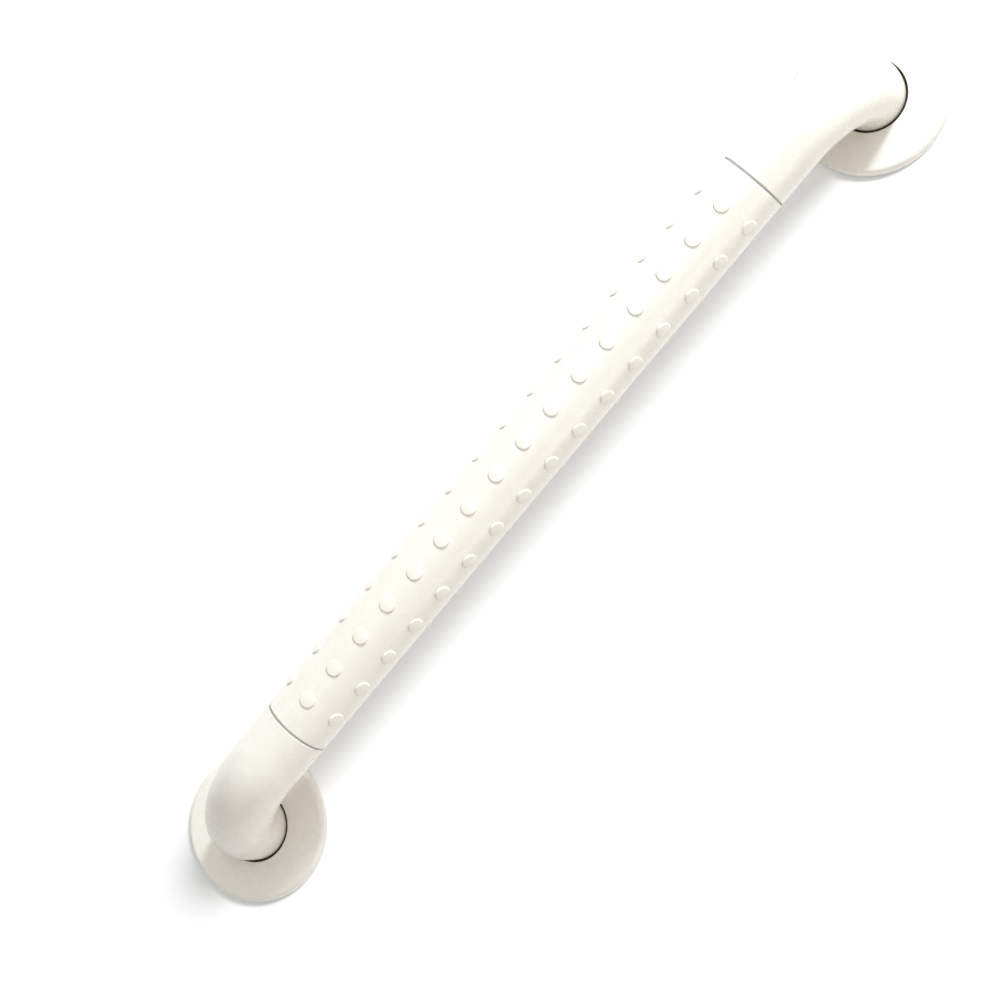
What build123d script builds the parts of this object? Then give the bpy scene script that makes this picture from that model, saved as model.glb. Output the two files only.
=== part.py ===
from build123d import *
import os
from math import asin, cos, degrees, radians, sin, sqrt

os.makedirs("parts", exist_ok=True)

# ---------------------------------------------------------------------------
# Grab bar, millimetres.  The wall is the plane Z = 0, +Z points away from it,
# the bar runs along X, the origin is midway between the two wall plates.
# ---------------------------------------------------------------------------

# overall
tube_r = 17.5            # outside radius of grip and elbows
centres = 480.0          # distance between the two wall plates' centres
bar_h = 53.0             # height of the bar's axis above the wall
bend_r = 46.0            # centreline radius of the elbow bend
seam_x = 171.5           # where each elbow starts, measured from the middle

# grip sleeve and its buttons
seal_t = 1.0             # rubber washer between grip and elbow
sleeve_bore_r = 12.6
edge_r = 0.4             # rounded edges of grip and elbow at the seam
button_r = 3.9
button_h = 0.8           # how far a button stands out of the grip
button_edge_r = 0.65
button_pitch = 20.4
button_count = 16        # along one row
button_rows = 6          # around the grip
button_turn = 6.0        # the front row lies this many degrees to the -Y side of straight out from the wall
button_root = 3.5        # depth of the button's root inside the wall

# core tube
core_r = 12.5
core_wall = 1.5
socket_depth = 30.0      # core tube socket in the elbow
socket_r = 12.55

# wall plate and its post
plate_r = 36.5
plate_t = 3.0
post_r = 10.0
post_top = 21.5
post_flat = 8.2          # key flat on the post, measured from its axis
bolt_clear_r = 4.2
cbore_r = 7.2
cbore_depth = 8.0
screw_pcd = 54.0
screw_r = 2.75
screw_csk_r = 4.75

# cover and gasket
cover_r = 39.0
cover_rim_z = 0.3        # lower edge of the skirt, just clear of the wall
cover_top_z = 5.2        # top face at the edge rounding
cover_hole_z = 5.8       # top face at the hole
cover_hole_r = 18.7
cover_edge_r = 2.6
cover_inner_r = 36.8
cover_under_z = 3.5
cover_seat_r = 33.5      # the seat inside the cover rests on the plate from here outwards
bead_r = 36.2            # snap bead under the plate's bevelled edge
gasket_in_r = 17.6
gasket_out_r = 18.6
gasket_top_z = 4.7

# fasteners
insert_r = 6.0
insert_top = 36.0
thread_hole_r = 4.02
thread_hole_top = 33.5
bolt_r = 4.0
bolt_head_r = 6.5
bolt_head_z = 1.0
bolt_head_h = 5.0
bolt_tip_z = 31.0
bolt_hex_af = 5.0
washer_in_r = 4.15
washer_out_r = 6.9
set_screw_x = 182.5
set_screw_r = 2.5

left_x = -centres / 2
neck_top = bar_h - bend_r
bend_x = left_x + bend_r         # where the bend ends and the straight leg begins

# ---------------------------------------------------------------------------
# Grip sleeve: thick plastic tube with rows of raised round buttons
# ---------------------------------------------------------------------------
grip_end = seam_x - seal_t

# one button, standing on the bar's axis and pointing to +Z: round side, rounded shoulder, slightly domed top
dome_r = 27.65                               # radius of the domed top
flat_r = button_r - button_edge_r            # where the dome meets the shoulder
button_root_z = tube_r - button_root
button_top_z = tube_r + button_h
shoulder_z = button_top_z - dome_r + sqrt(dome_r**2 - flat_r**2)
with BuildPart() as button:
    with BuildSketch(Plane.XZ):
        with BuildLine():
            Polyline(
                (0, button_top_z), (0, button_root_z), (button_r, button_root_z), (button_r, shoulder_z - button_edge_r)
            )
            CenterArc((flat_r, shoulder_z - button_edge_r), button_edge_r, 0, 90)
            CenterArc((0, button_top_z - dome_r), dome_r, 90 - degrees(asin(flat_r / dome_r)), degrees(asin(flat_r / dome_r)))
        make_face()
    revolve(axis=Axis.Z)

button_places = [
    Location((button_pitch * (i - (button_count - 1) / 2), 0, bar_h), (button_turn + 360.0 / button_rows * k, 0, 0))
    for i in range(button_count)
    for k in range(button_rows)
]

with BuildPart() as grip_sleeve:
    with BuildSketch(Plane.YZ.offset(-grip_end)):
        with Locations((0, bar_h)):
            Circle(tube_r)
    extrude(amount=2 * grip_end)
    fillet(grip_sleeve.edges().filter_by(GeomType.CIRCLE), radius=edge_r)
    with Locations(*button_places):
        add(button.part, clean=False)
    with BuildSketch(Plane.YZ.offset(-grip_end)):
        with Locations((0, bar_h)):
            Circle(sleeve_bore_r)
    extrude(amount=2 * grip_end, mode=Mode.SUBTRACT, clean=False)
grip_sleeve.part.label = "grip_sleeve"
export_step(grip_sleeve.part, "parts/grip_sleeve.step")

# ---------------------------------------------------------------------------
# Core tube: steel, through the grip and into both elbows
# ---------------------------------------------------------------------------
core_end = seam_x + socket_depth - 1.0
with BuildPart() as core_tube:
    with BuildSketch(Plane.YZ.offset(-core_end)):
        with Locations((0, bar_h)):
            Circle(core_r)
            Circle(core_r - core_wall, mode=Mode.SUBTRACT)
    extrude(amount=2 * core_end)
    chamfer(core_tube.edges().filter_by(GeomType.CIRCLE), length=0.3)
core_tube.part.label = "core_tube"
export_step(core_tube.part, "parts/core_tube.step")

# ---------------------------------------------------------------------------
# Elbow: one sweeping quarter bend from the grip to the wall plate
# ---------------------------------------------------------------------------
with BuildPart() as elbow_left:
    with BuildLine(Plane.XZ) as centreline:
        neck = Line((left_x, plate_t), (left_x, neck_top))
        bend = RadiusArc((left_x, neck_top), (bend_x, bar_h), bend_r)
        leg = Line((bend_x, bar_h), (-seam_x, bar_h))
    with BuildSketch(Plane.XY.offset(plate_t)):
        with Locations((left_x, 0)):
            Circle(tube_r)
    sweep(path=centreline.wires()[0])
    grip_side = elbow_left.edges().filter_by(GeomType.CIRCLE).sort_by(Axis.X)[-1]
    fillet(grip_side, radius=edge_r)
    # socket for the core tube
    with BuildSketch(Plane.YZ.offset(-seam_x)):
        with Locations((0, bar_h)):
            Circle(socket_r)
    extrude(amount=-socket_depth, mode=Mode.SUBTRACT)
    # keyed socket for the wall plate's post
    with BuildSketch(Plane.XY.offset(plate_t)):
        with Locations((left_x, 0)):
            Circle(post_r + 0.05)
        with Locations((left_x - post_flat - 0.05 - post_r, 0)):
            Rectangle(2 * post_r, 3 * post_r, mode=Mode.SUBTRACT)
    extrude(amount=post_top + 0.1 - plate_t, mode=Mode.SUBTRACT)
    # pocket of the threaded insert
    with BuildSketch(Plane.XY.offset(post_top)):
        with Locations((left_x, 0)):
            Circle(insert_r)
    extrude(amount=insert_top - post_top, mode=Mode.SUBTRACT)
    # set screw hole, on the side that faces the wall
    with BuildSketch(Plane.XY.offset(bar_h - tube_r - 2)):
        with Locations((-set_screw_x, 0)):
            Circle(set_screw_r + 0.05)
    extrude(amount=tube_r - socket_r + 2.6, mode=Mode.SUBTRACT)
elbow_left.part.label = "elbow_left"
export_step(elbow_left.part, "parts/elbow_left.step")

with BuildPart() as elbow_right:
    mirror(elbow_left.part, about=Plane.YZ)
elbow_right.part.label = "elbow_right"
export_step(elbow_right.part, "parts/elbow_right.step")

# ---------------------------------------------------------------------------
# Seam seal: rubber washer between grip and elbow, just below their surface
# ---------------------------------------------------------------------------
with BuildPart() as seam_seal_left:
    with BuildSketch(Plane.YZ.offset(-seam_x)):
        with Locations((0, bar_h)):
            Circle(tube_r - 0.25)
            Circle(sleeve_bore_r, mode=Mode.SUBTRACT)
    extrude(amount=seal_t)
seam_seal_left.part.label = "seam_seal_left"
export_step(seam_seal_left.part, "parts/seam_seal_left.step")

with BuildPart() as seam_seal_right:
    mirror(seam_seal_left.part, about=Plane.YZ)
seam_seal_right.part.label = "seam_seal_right"
export_step(seam_seal_right.part, "parts/seam_seal_right.step")

# ---------------------------------------------------------------------------
# Wall plate: steel disc with a hollow keyed post, countersunk screw holes
# ---------------------------------------------------------------------------
with BuildPart() as base_plate_left:
    with BuildSketch(Plane.XY):
        with Locations((left_x, 0)):
            Circle(plate_r)
    extrude(amount=plate_t)
    chamfer(base_plate_left.edges().filter_by(GeomType.CIRCLE).sort_by(Axis.Z)[0], length=1.0)
    fillet(base_plate_left.edges().filter_by(GeomType.CIRCLE).sort_by(Axis.Z)[-1], radius=0.3)
    with BuildSketch(Plane.XY.offset(plate_t)):
        with Locations((left_x, 0)):
            Circle(post_r)
        with Locations((left_x - post_flat - post_r, 0)):
            Rectangle(2 * post_r, 3 * post_r, mode=Mode.SUBTRACT)
    extrude(amount=post_top - plate_t)
    chamfer(base_plate_left.faces().sort_by(Axis.Z)[-1].edges(), length=0.6)
    # counterbore for the screw head and washer, clearance hole above it
    with BuildSketch(Plane.XY):
        with Locations((left_x, 0)):
            Circle(cbore_r)
    extrude(amount=cbore_depth, mode=Mode.SUBTRACT)
    with BuildSketch(Plane.XY):
        with Locations((left_x, 0)):
            Circle(bolt_clear_r)
    extrude(amount=post_top, mode=Mode.SUBTRACT)
    # three wall-screw holes: one away from the bar, two beside it
    with Locations(*[
        (left_x + screw_pcd / 2 * cos(radians(a)), screw_pcd / 2 * sin(radians(a)), plate_t)
        for a in (180, 60, -60)
    ]):
        CounterSinkHole(radius=screw_r, counter_sink_radius=screw_csk_r, depth=plate_t, counter_sink_angle=90)
base_plate_left.part.label = "base_plate_left"
export_step(base_plate_left.part, "parts/base_plate_left.step")

with BuildPart() as base_plate_right:
    mirror(base_plate_left.part, about=Plane.YZ)
base_plate_right.part.label = "base_plate_right"
export_step(base_plate_right.part, "parts/base_plate_right.step")

# ---------------------------------------------------------------------------
# Cover: thin round shell, slightly domed, rounded edge, snap bead inside
# ---------------------------------------------------------------------------
cover_axis = Axis((left_x, 0, 0), (0, 0, 1))
with BuildPart() as cover_left:
    with BuildSketch(Plane.XZ):
        with BuildLine():
            def at(r, z):
                return (left_x + r, z)
            skirt_top = cover_top_z - cover_edge_r
            Polyline(
                at(cover_r, skirt_top),
                at(cover_r, cover_rim_z + 0.4),
                at(cover_r - 0.4, cover_rim_z),
                at(bead_r + 0.3, cover_rim_z),
                at(bead_r, cover_rim_z + 0.25),
                at(cover_inner_r, cover_rim_z + 1.1),
                at(cover_inner_r, plate_t),
                at(cover_seat_r, plate_t),
                at(cover_seat_r, cover_under_z),
                at(cover_hole_r, cover_under_z),
                at(cover_hole_r, cover_hole_z - 0.5),
            )
            RadiusArc(at(cover_hole_r, cover_hole_z - 0.5), at(cover_hole_r + 0.5, cover_hole_z), 0.5)
            ThreePointArc(
                at(cover_hole_r + 0.5, cover_hole_z),
                at((cover_hole_r + cover_r - cover_edge_r) / 2 + 1.0, (cover_hole_z + cover_top_z) / 2 + 0.1),
                at(cover_r - cover_edge_r, cover_top_z),
            )
            RadiusArc(at(cover_r - cover_edge_r, cover_top_z), at(cover_r, skirt_top), cover_edge_r)
        make_face()
    revolve(axis=cover_axis)
cover_left.part.label = "cover_left"
export_step(cover_left.part, "parts/cover_left.step")

with BuildPart() as cover_right:
    mirror(cover_left.part, about=Plane.YZ)
cover_right.part.label = "cover_right"
export_step(cover_right.part, "parts/cover_right.step")

# ---------------------------------------------------------------------------
# Cover gasket: black rubber ring in the gap between cover and elbow
# ---------------------------------------------------------------------------
with BuildPart() as cover_gasket_left:
    with BuildSketch(Plane.XY.offset(plate_t)):
        with Locations((left_x, 0)):
            Circle(gasket_out_r)
            Circle(gasket_in_r, mode=Mode.SUBTRACT)
    extrude(amount=gasket_top_z - plate_t)
    fillet(cover_gasket_left.edges().filter_by(GeomType.CIRCLE).group_by(Axis.Z)[-1], radius=0.35)
cover_gasket_left.part.label = "cover_gasket_left"
export_step(cover_gasket_left.part, "parts/cover_gasket_left.step")

with BuildPart() as cover_gasket_right:
    mirror(cover_gasket_left.part, about=Plane.YZ)
cover_gasket_right.part.label = "cover_gasket_right"
export_step(cover_gasket_right.part, "parts/cover_gasket_right.step")

# ---------------------------------------------------------------------------
# Threaded insert: brass bush with two retaining grooves, moulded in the elbow
# ---------------------------------------------------------------------------
with BuildPart() as threaded_insert_left:
    with BuildSketch(Plane.XZ):
        with BuildLine():
            z0 = post_top + 0.1
            z1 = insert_top - 0.02
            ri = insert_r - 0.02
            Polyline(
                (left_x, z1), (left_x + ri - 0.5, z1), (left_x + ri, z1 - 0.5),
                (left_x + ri, z1 - 4), (left_x + ri - 0.8, z1 - 4.4), (left_x + ri - 0.8, z1 - 5.6), (left_x + ri, z1 - 6),
                (left_x + ri, z1 - 9), (left_x + ri - 0.8, z1 - 9.4), (left_x + ri - 0.8, z1 - 10.6), (left_x + ri, z1 - 11),
                (left_x + ri, z0), (left_x + thread_hole_r + 0.5, z0), (left_x + thread_hole_r, z0 + 0.5),
                (left_x + thread_hole_r, thread_hole_top - 1.5), (left_x, thread_hole_top),
                close=True,
            )
        make_face()
    revolve(axis=cover_axis)
threaded_insert_left.part.label = "threaded_insert_left"
export_step(threaded_insert_left.part, "parts/threaded_insert_left.step")

with BuildPart() as threaded_insert_right:
    mirror(threaded_insert_left.part, about=Plane.YZ)
threaded_insert_right.part.label = "threaded_insert_right"
export_step(threaded_insert_right.part, "parts/threaded_insert_right.step")

# ---------------------------------------------------------------------------
# Base bolt: low-head socket screw from behind the wall plate into the insert
# ---------------------------------------------------------------------------
head_top = bolt_head_z + bolt_head_h
with BuildPart() as base_bolt_left:
    with BuildSketch(Plane.XZ):
        with BuildLine():
            Polyline(
                (left_x, bolt_head_z), (left_x + bolt_head_r - 0.5, bolt_head_z), (left_x + bolt_head_r, bolt_head_z + 0.5),
                (left_x + bolt_head_r, head_top), (left_x + bolt_r, head_top),
                (left_x + bolt_r, bolt_tip_z - 0.8), (left_x + bolt_r - 0.8, bolt_tip_z), (left_x, bolt_tip_z),
                close=True,
            )
        make_face()
    revolve(axis=cover_axis)
    with BuildSketch(Plane.XY.offset(bolt_head_z)):
        with Locations((left_x, 0)):
            RegularPolygon(radius=bolt_hex_af / 2, side_count=6, major_radius=False)
    extrude(amount=3.0, mode=Mode.SUBTRACT)
base_bolt_left.part.label = "base_bolt_left"
export_step(base_bolt_left.part, "parts/base_bolt_left.step")

with BuildPart() as base_bolt_right:
    mirror(base_bolt_left.part, about=Plane.YZ)
base_bolt_right.part.label = "base_bolt_right"
export_step(base_bolt_right.part, "parts/base_bolt_right.step")

# ---------------------------------------------------------------------------
# Lock washer: split ring under the screw head
# ---------------------------------------------------------------------------
with BuildPart() as lock_washer_left:
    with BuildSketch(Plane.XY.offset(head_top)):
        with Locations((left_x, 0)):
            Circle(washer_out_r)
            Circle(washer_in_r, mode=Mode.SUBTRACT)
        with Locations((left_x + washer_out_r / 2 + 1, 0)):
            Rectangle(washer_out_r, 0.9, mode=Mode.SUBTRACT)
    extrude(amount=cbore_depth - head_top)
lock_washer_left.part.label = "lock_washer_left"
export_step(lock_washer_left.part, "parts/lock_washer_left.step")

with BuildPart() as lock_washer_right:
    mirror(lock_washer_left.part, about=Plane.YZ)
lock_washer_right.part.label = "lock_washer_right"
export_step(lock_washer_right.part, "parts/lock_washer_right.step")

# ---------------------------------------------------------------------------
# Set screw: hexagon-socket grub screw in the elbow, its tip against the core tube
# ---------------------------------------------------------------------------
set_top = bar_h - core_r - 0.02
set_bottom = bar_h - tube_r + 0.6
with BuildPart() as set_screw_left:
    with BuildSketch(Plane.XY.offset(set_bottom)):
        with Locations((-set_screw_x, 0)):
            Circle(set_screw_r)
    extrude(amount=set_top - set_bottom)
    chamfer(set_screw_left.edges().filter_by(GeomType.CIRCLE).sort_by(Axis.Z)[-1], length=0.8)
    chamfer(set_screw_left.edges().filter_by(GeomType.CIRCLE).sort_by(Axis.Z)[0], length=0.3)
    with BuildSketch(Plane.XY.offset(set_bottom)):
        with Locations((-set_screw_x, 0)):
            RegularPolygon(radius=1.25, side_count=6, major_radius=False)
    extrude(amount=2.2, mode=Mode.SUBTRACT)
set_screw_left.part.label = "set_screw_left"
export_step(set_screw_left.part, "parts/set_screw_left.step")

with BuildPart() as set_screw_right:
    mirror(set_screw_left.part, about=Plane.YZ)
set_screw_right.part.label = "set_screw_right"
export_step(set_screw_right.part, "parts/set_screw_right.step")
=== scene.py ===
import math
import bpy
from mathutils import Matrix, Vector

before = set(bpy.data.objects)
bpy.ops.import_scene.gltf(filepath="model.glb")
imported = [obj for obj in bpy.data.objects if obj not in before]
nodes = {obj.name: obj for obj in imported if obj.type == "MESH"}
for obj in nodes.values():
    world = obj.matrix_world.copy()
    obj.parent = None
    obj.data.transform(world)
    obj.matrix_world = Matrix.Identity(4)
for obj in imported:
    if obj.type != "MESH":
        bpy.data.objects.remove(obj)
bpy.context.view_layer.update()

scene = bpy.context.scene

# ------------------------------------------------------------------ colour management
scene.view_settings.view_transform = "Standard"
scene.view_settings.look = "None"
scene.view_settings.exposure = 0.0
scene.view_settings.gamma = 1.0


# ------------------------------------------------------------------ node helpers
class Graph:
    def __init__(self, name):
        self.mat = bpy.data.materials.new(name)
        self.mat.use_nodes = True
        self.nt = self.mat.node_tree
        self.nt.nodes.clear()
        self.out = self.add("ShaderNodeOutputMaterial")
        self.bsdf = self.add("ShaderNodeBsdfPrincipled")
        self.link(self.bsdf.outputs["BSDF"], self.out.inputs["Surface"])
        self.coord = self.add("ShaderNodeTexCoord")

    def add(self, kind, **props):
        n = self.nt.nodes.new(kind)
        for k, v in props.items():
            setattr(n, k, v)
        return n

    def link(self, a, b):
        self.nt.links.new(a, b)

    def noise(self, scale, detail=4.0, rough=0.55, vector=None, stretch=None):
        n = self.add("ShaderNodeTexNoise")
        n.inputs["Scale"].default_value = scale
        n.inputs["Detail"].default_value = detail
        n.inputs["Roughness"].default_value = rough
        src = vector if vector is not None else self.coord.outputs["Object"]
        if stretch is not None:
            m = self.add("ShaderNodeMapping")
            m.inputs["Scale"].default_value = stretch
            self.link(src, m.inputs["Vector"])
            src = m.outputs["Vector"]
        self.link(src, n.inputs["Vector"])
        return n.outputs["Fac"]

    def ramp(self, fac, stops):
        r = self.add("ShaderNodeValToRGB")
        el = r.color_ramp.elements
        while len(el) > len(stops):
            el.remove(el[-1])
        while len(el) < len(stops):
            el.new(0.5)
        for e, (pos, col) in zip(el, stops):
            e.position = pos
            e.color = (*col, 1.0) if len(col) == 3 else col
        self.link(fac, r.inputs["Fac"])
        return r.outputs["Color"]

    def map(self, fac, lo, hi, a=0.0, b=1.0):
        m = self.add("ShaderNodeMapRange")
        m.inputs["From Min"].default_value = a
        m.inputs["From Max"].default_value = b
        m.inputs["To Min"].default_value = lo
        m.inputs["To Max"].default_value = hi
        self.link(fac, m.inputs["Value"])
        return m.outputs["Result"]

    def mix(self, fac, a, b, blend="MIX"):
        m = self.add("ShaderNodeMix", data_type="RGBA", blend_type=blend)
        if isinstance(fac, (int, float)):
            m.inputs["Factor"].default_value = fac
        else:
            self.link(fac, m.inputs["Factor"])
        for sock, v in ((m.inputs[6], a), (m.inputs[7], b)):
            if isinstance(v, tuple):
                sock.default_value = (*v, 1.0)
            else:
                self.link(v, sock)
        return m.outputs[2]

    def bump(self, height, strength, distance, normal=None):
        b = self.add("ShaderNodeBump")
        b.inputs["Strength"].default_value = strength
        b.inputs["Distance"].default_value = distance
        self.link(height, b.inputs["Height"])
        if normal is not None:
            self.link(normal, b.inputs["Normal"])
        return b.outputs["Normal"]

    def bevel(self, radius, samples=6):
        b = self.add("ShaderNodeBevel", samples=samples)
        b.inputs["Radius"].default_value = radius
        return b.outputs["Normal"]


# ------------------------------------------------------------------ materials
def ivory(name, bevel_mm):
    g = Graph(name)
    p = g.bsdf
    p.inputs["Specular IOR Level"].default_value = 0.5
    p.inputs["IOR"].default_value = 1.5
    cloud = g.noise(9.0, 3.0, 0.5)
    fine = g.noise(160.0, 4.0, 0.6)
    base = g.ramp(cloud, [(0.30, (0.812, 0.773, 0.700)), (0.70, (0.838, 0.804, 0.737))])
    speck = g.ramp(fine, [(0.35, (0.965, 0.960, 0.950)), (0.65, (1.0, 1.0, 1.0))])
    g.link(g.mix(1.0, base, speck, "MULTIPLY"), p.inputs["Base Color"])
    haze = g.noise(55.0, 5.0, 0.65)
    g.link(g.map(haze, 0.20, 0.34, 0.3, 0.7), p.inputs["Roughness"])
    peel = g.noise(130.0, 2.0, 0.45)
    normal = g.bevel(bevel_mm * 0.001) if bevel_mm else None
    g.link(g.bump(peel, 0.03, 0.0004, normal), p.inputs["Normal"])
    return g.mat


def rubber(name, dark, light, rough):
    g = Graph(name)
    p = g.bsdf
    p.inputs["Specular IOR Level"].default_value = 0.35
    n = g.noise(260.0, 5.0, 0.6)
    g.link(g.ramp(n, [(0.3, dark), (0.7, light)]), p.inputs["Base Color"])
    g.link(g.map(g.noise(120.0, 3.0), rough - 0.08, rough + 0.08, 0.3, 0.7), p.inputs["Roughness"])
    g.link(g.bump(g.noise(900.0, 3.0), 0.25, 0.0002), p.inputs["Normal"])
    return g.mat


def turned_metal(name, colour, dark, centre_x, rough=0.32):
    # steel turned or ground in rings about the wall plate's own axis
    g = Graph(name)
    p = g.bsdf
    p.inputs["Metallic"].default_value = 1.0
    m = g.add("ShaderNodeMapping")
    m.inputs["Location"].default_value = (-centre_x, 0.0, 0.0)
    g.link(g.coord.outputs["Object"], m.inputs["Vector"])
    sep = g.add("ShaderNodeSeparateXYZ")
    g.link(m.outputs["Vector"], sep.inputs["Vector"])
    flat = g.add("ShaderNodeCombineXYZ")
    g.link(sep.outputs["X"], flat.inputs["X"])
    g.link(sep.outputs["Y"], flat.inputs["Y"])
    ln = g.add("ShaderNodeVectorMath", operation="LENGTH")
    g.link(flat.outputs["Vector"], ln.inputs[0])
    ring = g.add("ShaderNodeCombineXYZ")
    g.link(ln.outputs["Value"], ring.inputs["X"])
    g.link(sep.outputs["Z"], ring.inputs["Y"])
    rings = g.noise(2600.0, 4.0, 0.6, vector=ring.outputs["Vector"])
    broad = g.noise(30.0, 4.0, 0.6)
    g.link(g.mix(g.map(broad, 0.0, 0.5, 0.35, 0.7), g.ramp(rings, [(0.25, dark), (0.75, colour)]), dark), p.inputs["Base Color"])
    g.link(g.map(rings, rough - 0.1, rough + 0.12, 0.25, 0.75), p.inputs["Roughness"])
    g.link(g.bump(rings, 0.12, 0.0001), p.inputs["Normal"])
    return g.mat


def drawn_metal(name, colour, dark, rough=0.3):
    # steel tube or screw with marks along X
    g = Graph(name)
    p = g.bsdf
    p.inputs["Metallic"].default_value = 1.0
    lines = g.noise(1500.0, 4.0, 0.6, stretch=(0.02, 1.0, 1.0))
    broad = g.noise(40.0, 4.0, 0.6)
    g.link(g.mix(g.map(broad, 0.0, 0.5, 0.35, 0.7), g.ramp(lines, [(0.3, dark), (0.7, colour)]), dark), p.inputs["Base Color"])
    g.link(g.map(lines, rough - 0.08, rough + 0.1, 0.3, 0.7), p.inputs["Roughness"])
    g.link(g.bump(lines, 0.1, 0.0001), p.inputs["Normal"])
    return g.mat


def give(node, mat):
    slots = nodes[node].data.materials
    slots.clear()
    slots.append(mat)


ivory_grip = ivory("ivory_grip", 0.5)
ivory_fitting = ivory("ivory_fitting", 0.0)
# the seam seals are grey rubber rings, and their grey also stands in as painted shade for the gap between each elbow
# and the grip
grey_rubber = rubber("grey_rubber", (0.33, 0.325, 0.315), (0.40, 0.395, 0.38), 0.65)
# the cover gaskets are black rubber rings, and their near-black also stands in as painted shade for the gap where each
# elbow enters its cover
black_rubber = rubber("black_rubber", (0.006, 0.006, 0.006), (0.014, 0.013, 0.012), 0.6)
steel_left = turned_metal("plate_steel_left", (0.62, 0.62, 0.61), (0.40, 0.40, 0.40), -0.24)
steel_right = turned_metal("plate_steel_right", (0.62, 0.62, 0.61), (0.40, 0.40, 0.40), 0.24)
core_steel = drawn_metal("core_steel", (0.60, 0.60, 0.59), (0.42, 0.42, 0.42))
screw_left = turned_metal("screw_steel_left", (0.50, 0.50, 0.49), (0.30, 0.30, 0.30), -0.24, 0.28)
screw_right = turned_metal("screw_steel_right", (0.50, 0.50, 0.49), (0.30, 0.30, 0.30), 0.24, 0.28)
set_steel = drawn_metal("set_screw_steel", (0.30, 0.30, 0.30), (0.16, 0.16, 0.16), 0.35)
brass_left = turned_metal("insert_brass_left", (0.72, 0.53, 0.24), (0.52, 0.36, 0.14), -0.24, 0.3)
brass_right = turned_metal("insert_brass_right", (0.72, 0.53, 0.24), (0.52, 0.36, 0.14), 0.24, 0.3)

give("grip_sleeve", ivory_grip)
give("core_tube", core_steel)
for side in ("left", "right"):
    give(f"elbow_{side}", ivory_fitting)
    give(f"cover_{side}", ivory_fitting)
    give(f"seam_seal_{side}", grey_rubber)
    give(f"cover_gasket_{side}", black_rubber)
    give(f"set_screw_{side}", set_steel)
for side, steel, screw, brass in (("left", steel_left, screw_left, brass_left), ("right", steel_right, screw_right, brass_right)):
    give(f"base_plate_{side}", steel)
    give(f"base_bolt_{side}", screw)
    give(f"lock_washer_{side}", screw)
    give(f"threaded_insert_{side}", brass)

# ------------------------------------------------------------------ floor
me = bpy.data.meshes.new("floor")
half = 6.0
me.from_pydata([(-half, -half, -0.0004), (half, -half, -0.0004), (half, half, -0.0004), (-half, half, -0.0004)], [], [(0, 1, 2, 3)])
floor = bpy.data.objects.new("floor", me)
scene.collection.objects.link(floor)
gf = Graph("floor_white")
gf.bsdf.inputs["Specular IOR Level"].default_value = 0.1
gf.link(gf.ramp(gf.noise(3.0, 3.0), [(0.3, (0.945, 0.945, 0.945)), (0.7, (0.965, 0.965, 0.965))]), gf.bsdf.inputs["Base Color"])
gf.link(gf.map(gf.noise(40.0, 3.0), 0.75, 0.9, 0.3, 0.7), gf.bsdf.inputs["Roughness"])
gf.bsdf.inputs["Emission Color"].default_value = (0.86, 0.93, 1.0, 1.0)
gf.bsdf.inputs["Emission Strength"].default_value = 0.09
me.materials.append(gf.mat)


# ------------------------------------------------------------------ lights
def area(name, to_light, dist, size, power, colour=(1, 1, 1), target=(0, 0, 0.03)):
    light = bpy.data.lights.new(name, "AREA")
    light.shape = "DISK"
    light.size = size
    light.energy = power
    light.color = colour
    ob = bpy.data.objects.new(name, light)
    scene.collection.objects.link(ob)
    d = Vector(to_light).normalized()
    ob.location = Vector(target) + d * dist
    ob.rotation_euler = d.to_track_quat("Z", "Y").to_euler()
    return ob


def only(ob, state):
    # the lamps on the bar leave out the floor, and the floor has a lamp of its own, so that its shadow stays close to the bar
    group = bpy.data.collections.new(ob.name + "_lights")
    group.objects.link(floor)
    group.collection_objects[0].light_linking.link_state = state
    ob.light_linking.receiver_collection = group


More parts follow.
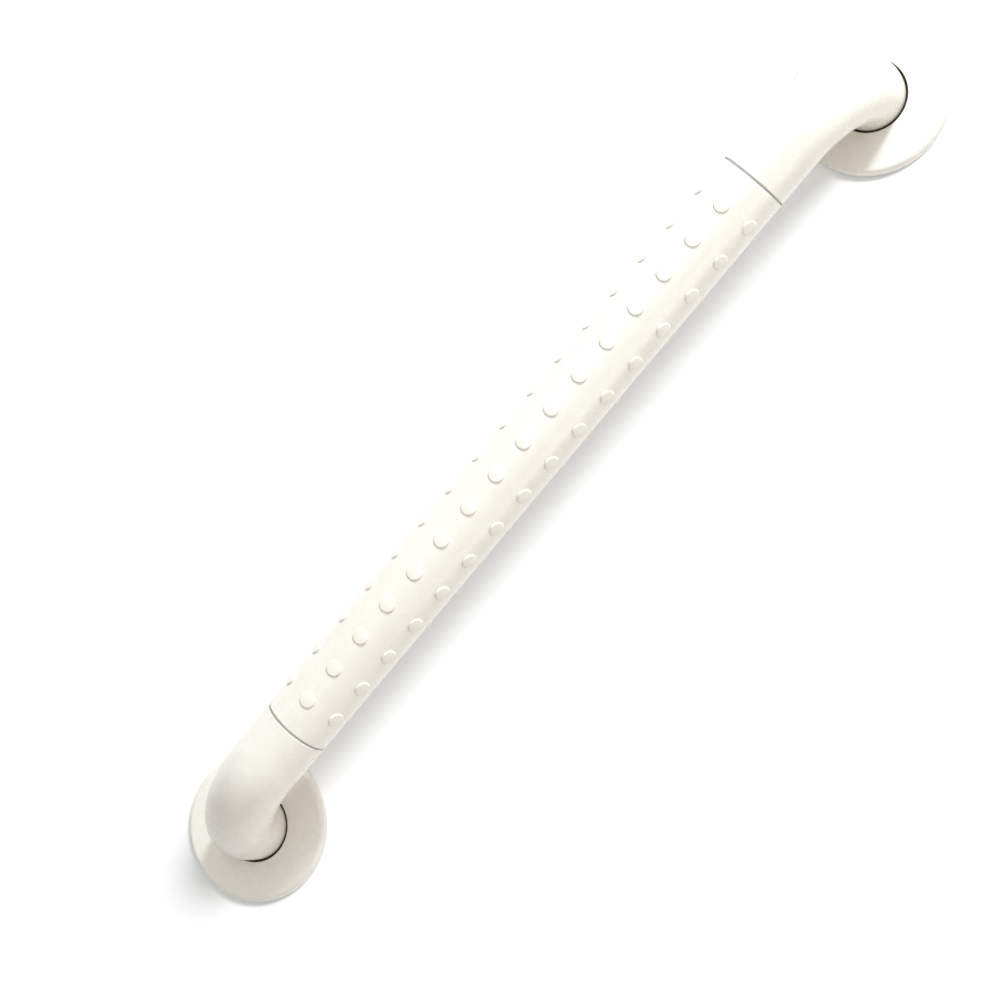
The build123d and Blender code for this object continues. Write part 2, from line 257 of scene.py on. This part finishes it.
only(area("key", (0.84, 0.19, 0.51), 2.4, 0.42, 57.0, (0.90, 0.955, 1.0)), "EXCLUDE")
only(area("top", (0.0, 0.06, 1.0), 1.0, 0.8, 3.2, (0.93, 0.965, 1.0), (0.25, 0.0, 0.03)), "EXCLUDE")
only(area("rim", (-0.88, -0.34, 0.33), 1.8, 0.9, 0.8, (1.0, 0.985, 0.95)), "EXCLUDE")
only(area("side", (0.05, -0.95, 0.25), 2.0, 1.2, 8.5, (1.0, 0.985, 0.95)), "EXCLUDE")
only(area("ground", (1.0, -0.10, 1.0), 4.0, 1.2, 124.0, (0.97, 0.985, 1.0)), "INCLUDE")

# the studio's own light is brightest overhead towards the bar's far end and duller behind the near end and to its right
world = bpy.data.worlds.new("soft_studio")
scene.world = world
world.use_nodes = True
wt = world.node_tree
bg = wt.nodes["Background"]
geo = wt.nodes.new("ShaderNodeTexCoord")
dot = wt.nodes.new("ShaderNodeVectorMath")
dot.operation = "DOT_PRODUCT"
dot.inputs[1].default_value = Vector((0.60, 0.44, 0.67)).normalized()
wt.links.new(geo.outputs["Generated"], dot.inputs[0])
level = wt.nodes.new("ShaderNodeMapRange")
level.inputs["From Min"].default_value = -0.5
level.inputs["From Max"].default_value = 0.9
level.inputs["To Min"].default_value = 0.21
level.inputs["To Max"].default_value = 0.73
wt.links.new(dot.outputs["Value"], level.inputs["Value"])
wt.links.new(level.outputs["Result"], bg.inputs["Strength"])
bg.inputs["Color"].default_value = (1.0, 0.99, 0.96, 1.0)

# ------------------------------------------------------------------ camera
# The right and up directions of the picture in the part's frame, the scale in pixels per millimetre at the origin, the
# pixel where the origin falls in the 1000 x 1000 frame, and the camera's distance in metres.
s_px, (t0, t1), dist = 1.99, (555.0, 474.0), 1.03
right = Vector((0.410, -0.837, -0.363)).normalized()
up = Vector((0.900, 0.435, 0.015))
up = (up - right * up.dot(right)).normalized()
roll = math.radians(15.5)
right, up = right * math.cos(roll) + up * math.sin(roll), up * math.cos(roll) - right * math.sin(roll)
back = right.cross(up)
cam_data = bpy.data.cameras.new("camera")
cam_data.sensor_width = 36.0
cam_data.sensor_fit = "HORIZONTAL"
cam_data.lens = s_px * 1000.0 * dist * 36.0 / 1000.0
cam_data.clip_start = 0.01
cam_data.clip_end = 50.0
cam_data.dof.use_dof = False
cam = bpy.data.objects.new("camera", cam_data)
scene.collection.objects.link(cam)
loc = back * dist - right * ((t0 - 500.0) / s_px / 1000.0) + up * ((t1 - 500.0) / s_px / 1000.0)
m = Matrix((right, up, back)).transposed().to_4x4()
m.translation = loc
cam.matrix_world = m
scene.camera = cam
